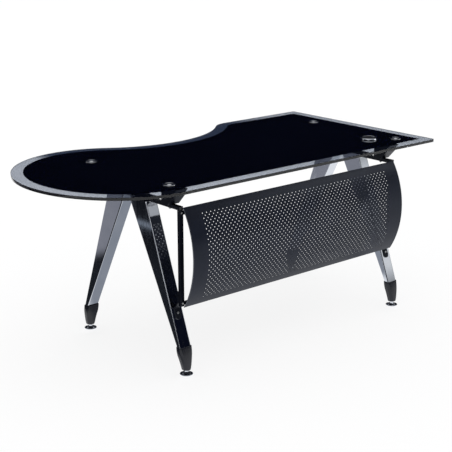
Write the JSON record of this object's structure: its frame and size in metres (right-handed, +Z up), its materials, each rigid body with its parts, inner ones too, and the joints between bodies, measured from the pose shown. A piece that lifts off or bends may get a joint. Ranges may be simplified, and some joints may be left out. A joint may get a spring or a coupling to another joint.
{
  "type": "computer desk",
  "caption": "Glass-topped computer desk with one rounded end, chrome A-frame legs on levelling feet, a bowed perforated modesty panel and a cable grommet.",
  "frame": {"origin": "on the floor, under the middle of the desk's outline box", "axes": "+X along the desk towards the square end, -X the rounded end, -Y the visitor's side with the modesty panel, +Y the user's side, +Z up"},
  "size_m": [1.8099, 0.9, 0.758],
  "materials": {
    "clear_glass": "clear tempered, polished edge",
    "black_print": "gloss black printed layer under the glass surface look",
    "chrome": "polished chrome plate",
    "zinc": "zinc plated",
    "black_steel": "satin black powder coat",
    "panel_paint": "satin blue-black powder coat",
    "plastic": "moulded black plastic",
    "grommet_black": "moulded dark grey plastic",
    "rubber": "soft black rubber"
  },
  "bodies": {
    "desk": {"glass_top": "clear_glass", "black_print": "black_print", "fixing_caps": "chrome", "fixing_gaskets": "rubber", "fixing_bushes": "plastic", "fixing_pads": "rubber", "fixing_nuts": "zinc", "arm_plugs": "plastic", "glide_inserts": "zinc", "panel_clips": "black_steel", "clip_screws": "zinc", "modesty_panel": "panel_paint", "stretcher": "black_steel", "stretcher_flanges": "black_steel", "grommet_ring": "chrome", "grommet_nut": "plastic", "arm_bolts": "zinc", "arm_nuts": "zinc", "bracket_bolts": "zinc", "bracket_nuts": "zinc", "strap_screws": "zinc", "strap_nuts": "zinc", "stretcher_bolts": "zinc", "stretcher_nuts": "zinc", "arm_left": "black_steel", "leg_head_left": "chrome", "panel_bar_left": "black_steel", "bar_strap_left": "black_steel", "leg_front_left": "chrome", "foot_sleeve_front_left": "plastic", "glass_bracket_front_left": "black_steel", "pad_plate_front_left": "black_steel", "leg_rear_left": "chrome", "foot_sleeve_rear_left": "plastic", "glass_bracket_rear_left": "black_steel", "pad_plate_rear_left": "black_steel", "arm_right": "black_steel", "leg_head_right": "chrome", "panel_bar_right": "black_steel", "bar_strap_right": "black_steel", "leg_front_right": "chrome", "foot_sleeve_front_right": "plastic", "glass_bracket_front_right": "black_steel", "pad_plate_front_right": "black_steel", "leg_rear_right": "chrome", "foot_sleeve_rear_right": "plastic", "glass_bracket_rear_right": "black_steel", "pad_plate_rear_right": "black_steel"},
    "levelling_foot_front_left": {"glide_front_left": "chrome"},
    "levelling_foot_rear_left": {"glide_rear_left": "chrome"},
    "levelling_foot_front_right": {"glide_front_right": "chrome"},
    "levelling_foot_rear_right": {"glide_rear_right": "chrome"},
    "grommet_cover": {"grommet_lid": "grommet_black"}
  },
  "joints": [
    {"name": "foot_screw_front_left", "type": "slide", "parent": "desk", "child": "levelling_foot_front_left", "axis": [0, 0, -1], "range_m": [0, 0.012]},
    {"name": "foot_screw_rear_left", "type": "slide", "parent": "desk", "child": "levelling_foot_rear_left", "axis": [0, 0, -1], "range_m": [0, 0.012]},
    {"name": "foot_screw_front_right", "type": "slide", "parent": "desk", "child": "levelling_foot_front_right", "axis": [0, 0, -1], "range_m": [0, 0.012]},
    {"name": "foot_screw_rear_right", "type": "slide", "parent": "desk", "child": "levelling_foot_rear_right", "axis": [0, 0, -1], "range_m": [0, 0.012]},
    {"name": "grommet_turn", "type": "hinge", "parent": "desk", "child": "grommet_cover", "pos_m": [0.686, -0.258, 0.755], "axis": [0, 0, 1], "continuous": true}
  ]
}
